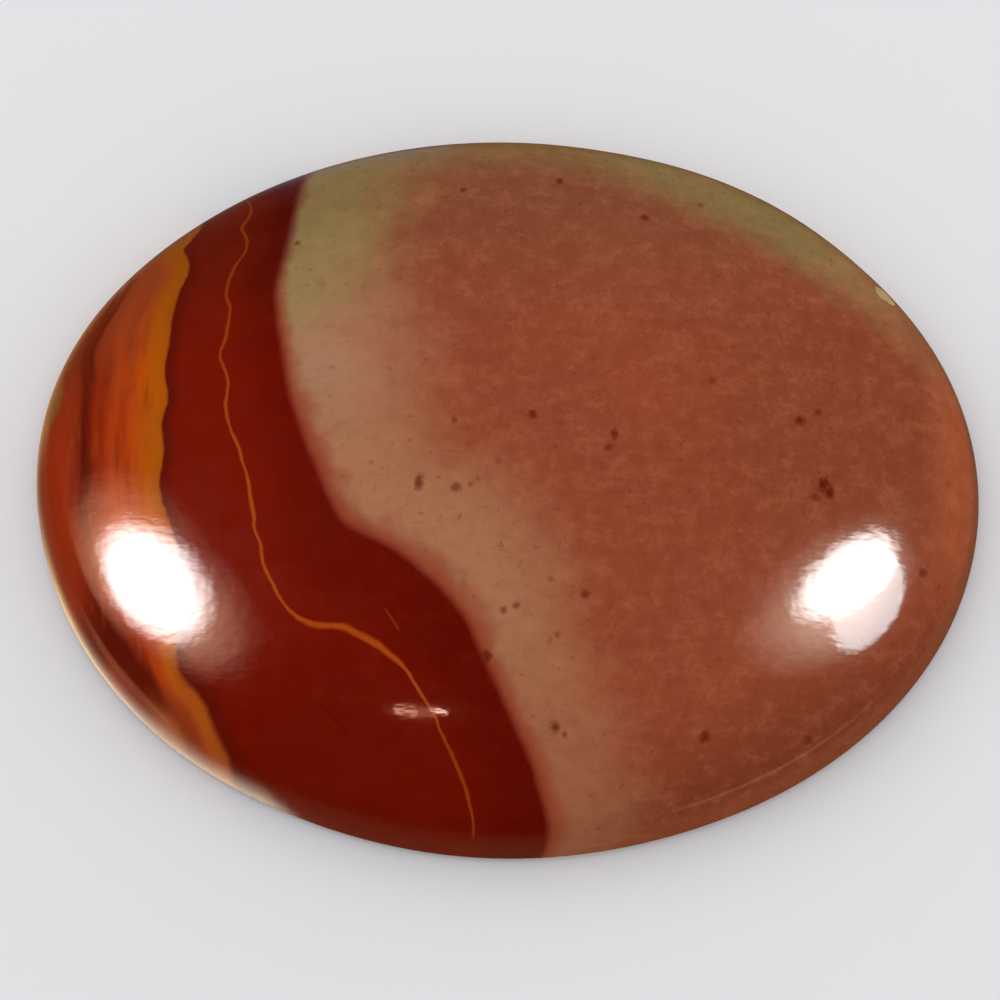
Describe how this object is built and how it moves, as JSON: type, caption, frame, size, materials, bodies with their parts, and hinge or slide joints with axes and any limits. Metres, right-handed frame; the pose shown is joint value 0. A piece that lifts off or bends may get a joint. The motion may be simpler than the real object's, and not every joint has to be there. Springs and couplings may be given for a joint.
{
  "type": "noreena jasper cabochon",
  "caption": "Oval jasper cabochon: flat polished back, low wall and low polished dome with mauve, dark red and ochre bands.",
  "frame": {"origin": "middle of the flat back, the face that the stone rests on", "axes": "+Z out of the dome, +X along the oval's long axis, +Y across it"},
  "size_m": [0.039, 0.0306, 0.0074],
  "materials": {
    "jasper": "polished"
  },
  "bodies": {
    "root": {"cabochon": "jasper"}
  },
  "joints": []
}
